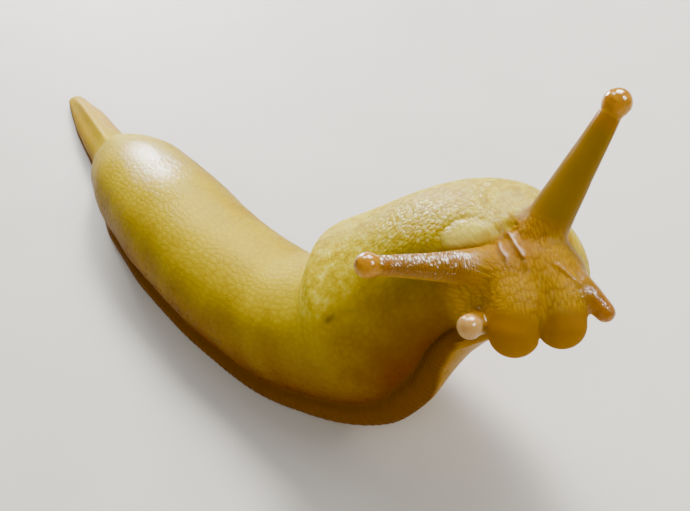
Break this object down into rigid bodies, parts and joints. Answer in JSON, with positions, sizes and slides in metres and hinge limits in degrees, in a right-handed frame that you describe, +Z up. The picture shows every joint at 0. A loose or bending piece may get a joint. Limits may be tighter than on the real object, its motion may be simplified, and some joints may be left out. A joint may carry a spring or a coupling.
{
  "type": "banana slug model",
  "caption": "Yellow banana slug, a still life-size model: it rests on its foot in a bend, with its front lifted, its eye tentacles spread and the lobes of its mouth out.",
  "frame": {"origin": "middle of the bounding box, on the floor that the foot rests on", "axes": "+Z up, +Y towards the tail and along the longest side of the box, -Y towards the head, +X to the slug's left"},
  "size_m": [0.0902, 0.1263, 0.047],
  "materials": {
    "flesh": "wet, glossy yellow skin with a fine network of grooves",
    "mantle": "wet, finely grained pale yellow skin",
    "head": "wet, translucent amber skin with fine wrinkles",
    "foot": "wet, translucent orange margin over a smooth sole",
    "eye": "wet, clear orange knob round a small dark eye"
  },
  "bodies": {
    "root": {"tail": "flesh", "torso_rear": "flesh", "torso_middle": "flesh", "torso_front": "flesh", "neck": "flesh", "mantle": "mantle", "foot_tail": "foot", "foot_rear": "foot", "foot_middle": "foot", "foot_front": "foot", "head": "head", "upper_tentacle_left": "head", "upper_tentacle_right": "head", "lower_tentacle_left": "head", "lower_tentacle_right": "head", "mouth_lobe_left": "head", "mouth_lobe_right": "head", "eye_left": "eye", "eye_right": "eye"}
  },
  "joints": []
}
